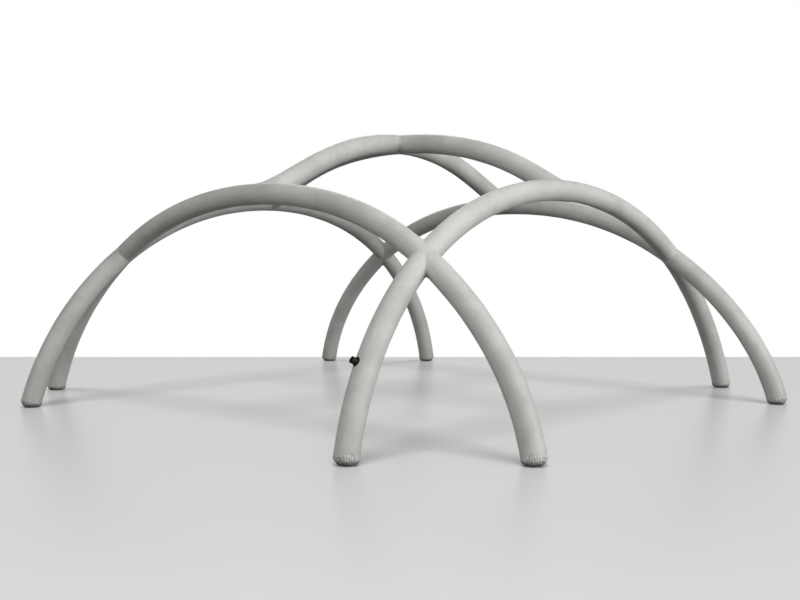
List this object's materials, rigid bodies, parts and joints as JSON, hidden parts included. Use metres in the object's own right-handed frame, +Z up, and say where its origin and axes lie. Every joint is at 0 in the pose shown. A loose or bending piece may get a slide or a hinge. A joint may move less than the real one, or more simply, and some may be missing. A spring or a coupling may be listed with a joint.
{
  "type": "inflatable arch frame",
  "caption": "Air-tube tent frame: inflated arches cross at the corners of a near-square plan under a crossed crown, with gathered feet and a capped air valve.",
  "frame": {"origin": "on the ground at the middle of the plan, level with the soles of the feet", "axes": "+Z up; +X east, along the longer side of the plan; +Y north"},
  "size_m": [6.6816, 6.2616, 2.79],
  "materials": {
    "coated_fabric": "light warm-grey woven polyester with a satin waterproof coating",
    "black_plastic": "black moulded plastic, satin"
  },
  "bodies": {
    "frame": {"leg_south_e": "coated_fabric", "leg_south_w": "coated_fabric", "leg_east_n": "coated_fabric", "leg_east_s": "coated_fabric", "leg_north_w": "coated_fabric", "leg_north_e": "coated_fabric", "leg_west_s": "coated_fabric", "leg_west_n": "coated_fabric", "foot_south_e": "coated_fabric", "foot_south_w": "coated_fabric", "foot_east_n": "coated_fabric", "foot_east_s": "coated_fabric", "foot_north_w": "coated_fabric", "foot_north_e": "coated_fabric", "foot_west_s": "coated_fabric", "foot_west_n": "coated_fabric", "span_south": "coated_fabric", "span_east": "coated_fabric", "span_north": "coated_fabric", "span_west": "coated_fabric", "crown_south": "coated_fabric", "crown_north": "coated_fabric", "crown_east": "coated_fabric", "crown_west": "coated_fabric", "valve_flange": "black_plastic", "valve_body": "black_plastic"},
    "cap": {"valve_cap": "black_plastic"}
  },
  "joints": [
    {"name": "valve_cap_turn", "type": "hinge", "parent": "frame", "child": "cap", "pos_m": [2.12725, -2.85304, 0.73541], "axis": [-0.344, -0.8219, 0.4541], "range_deg": [0, 90]}
  ]
}
